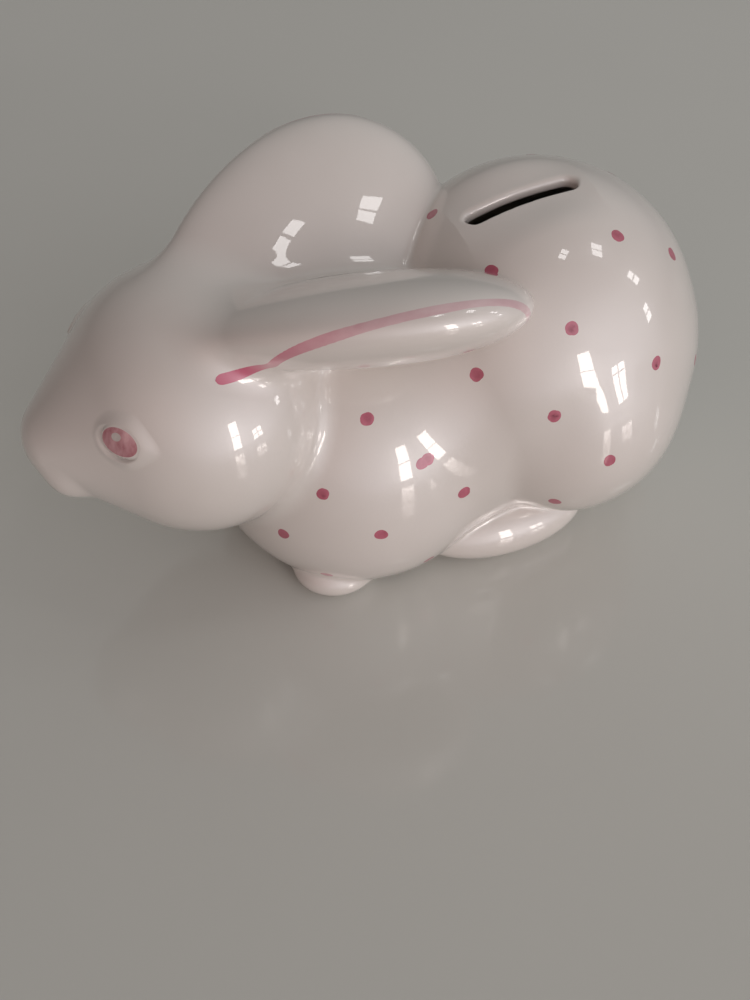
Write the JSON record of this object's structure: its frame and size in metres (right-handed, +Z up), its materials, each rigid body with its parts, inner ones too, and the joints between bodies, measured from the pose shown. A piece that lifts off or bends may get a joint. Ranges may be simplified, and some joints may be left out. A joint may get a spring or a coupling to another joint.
{
  "type": "figural animal coin bank",
  "caption": "Glossy white ceramic crouching rabbit bank with painted dots, ear stripes and eyes, a coin slot in the back and a rubber stopper underneath.",
  "frame": {"origin": "on the table, under the middle of the overall box", "axes": "+X towards the rabbit's nose, +Y to the rabbit's left, +Z up"},
  "size_m": [0.181, 0.0962, 0.0974],
  "materials": {
    "white_glaze": "thick clear glaze over white earthenware, high gloss",
    "bare_bisque": "unglazed earthenware, matte",
    "pink_enamel": "brushed pink ceramic paint under the glaze, high gloss",
    "rose_enamel": "mottled rose ceramic paint under the glaze, high gloss",
    "pale_enamel": "pale ceramic paint under the glaze, high gloss",
    "stopper_rubber": "soft translucent-looking pale rubber, satin"
  },
  "bodies": {
    "bank": {"base_ring": "bare_bisque", "body_dots": "pink_enamel", "head_shell": "white_glaze", "left_ear": "white_glaze", "left_ear_stripe": "pink_enamel", "left_eye_glint": "pale_enamel", "left_eye_rim": "white_glaze", "left_forepaw": "white_glaze", "left_hind_foot": "white_glaze", "left_iris": "rose_enamel", "right_ear": "white_glaze", "right_ear_stripe": "pink_enamel", "right_eye_glint": "pale_enamel", "right_eye_rim": "white_glaze", "right_forepaw": "white_glaze", "right_hind_foot": "white_glaze", "right_iris": "rose_enamel", "tail": "white_glaze", "torso_shell": "white_glaze"},
    "stopper": {"stopper": "stopper_rubber"}
  },
  "joints": [
    {"name": "stopper_pull", "type": "slide", "parent": "bank", "child": "stopper", "axis": [0, 0, -1], "range_m": [0, 0.03]}
  ]
}
